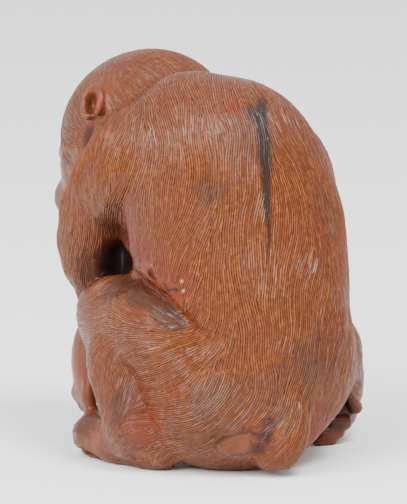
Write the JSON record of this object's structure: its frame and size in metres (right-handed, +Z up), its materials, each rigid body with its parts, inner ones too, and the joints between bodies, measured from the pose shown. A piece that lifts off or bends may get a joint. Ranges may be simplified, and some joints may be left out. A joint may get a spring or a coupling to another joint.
{
  "type": "seated monkey okimono",
  "caption": "Carved and stained wooden okimono of a seated monkey, bowed forward with its head turned down to its left, its fur cut in fine hair strokes.",
  "frame": {"origin": "on the floor plane, under the middle of the figure's outline in plan", "axes": "+Z up, -Y the way the seated body faces, +X the monkey's own left side"},
  "size_m": [0.0636, 0.0691, 0.0793],
  "materials": {
    "wood": "stained red-brown and waxed, satin, darker in the strokes"
  },
  "bodies": {
    "root": {"monkey": "wood"}
  },
  "joints": []
}
